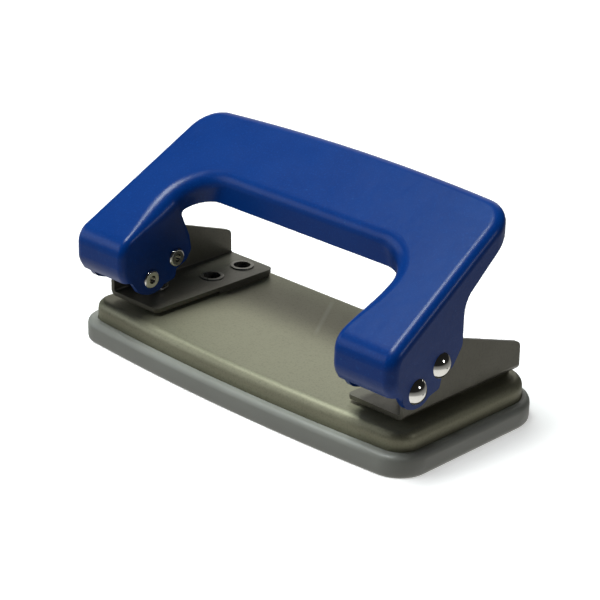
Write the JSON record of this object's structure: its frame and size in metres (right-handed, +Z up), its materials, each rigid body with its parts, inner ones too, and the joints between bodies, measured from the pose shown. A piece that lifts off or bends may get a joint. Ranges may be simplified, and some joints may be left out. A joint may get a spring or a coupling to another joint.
{
  "type": "paper_punch",
  "caption": "Two-hole desk paper punch with a blue enamelled sheet-steel lever, plated brackets, a satin steel base plate and a grey plastic chip tray.",
  "frame": {"origin": "centre of the flat underside of the chip tray, on the mirror plane between the two punches", "axes": "+X along the long side of the base, +Y from the edge where paper is put in to the back, +Z up"},
  "size_m": [0.1014, 0.0496, 0.0497],
  "materials": {
    "blue_enamel": "semi-gloss baked enamel",
    "base_steel": "satin plated steel, slightly warm",
    "bracket_steel": "dull plated steel, darker than the base",
    "rivet_steel": "dull plated steel",
    "pin_chrome": "polished",
    "tool_steel": "ground and oiled",
    "spring_steel": "bright drawn wire and strip",
    "tray_plastic": "satin moulded plastic"
  },
  "bodies": {
    "tray": {"bottom_tray": "tray_plastic"},
    "base": {"base_plate": "base_steel", "bracket_left": "bracket_steel", "bracket_right": "bracket_steel", "spacer_left": "bracket_steel", "spacer_right": "bracket_steel", "rivets_left": "rivet_steel", "rivets_right": "rivet_steel", "return_spring_left": "spring_steel", "return_spring_right": "spring_steel"},
    "lever": {"handle_lever": "blue_enamel", "pivot_pin_left": "pin_chrome", "pivot_pin_right": "pin_chrome", "drive_pin_left": "pin_chrome", "drive_pin_right": "pin_chrome"},
    "punch_a": {"punch_left": "tool_steel", "collar_left": "spring_steel"},
    "punch_b": {"punch_right": "tool_steel", "collar_right": "spring_steel"}
  },
  "joints": [
    {"name": "tray_release", "type": "slide", "parent": "tray", "child": "base", "axis": [0, 0, 1], "range_m": [0, 0.02]},
    {"name": "lever_hinge", "type": "hinge", "parent": "base", "child": "lever", "pos_m": [0, -0.01596, 0.0177], "axis": [-1, 0, 0], "range_deg": [0, 26], "stiffness_Nm_per_rad": 0.25, "springref_deg": -20.05},
    {"name": "punch_left_slide", "type": "slide", "parent": "base", "child": "punch_a", "axis": [0, 0, -1], "range_m": [0, 0.0038], "deforming": ["return_spring_left"]},
    {"name": "punch_right_slide", "type": "slide", "parent": "base", "child": "punch_b", "axis": [0, 0, -1], "range_m": [0, 0.0038], "deforming": ["return_spring_right"]}
  ],
  "couplings": [
    {"joint": "punch_left_slide", "follows": "lever_hinge", "m_per_rad": 0.00825},
    {"joint": "punch_right_slide", "follows": "lever_hinge", "m_per_rad": 0.00825}
  ]
}
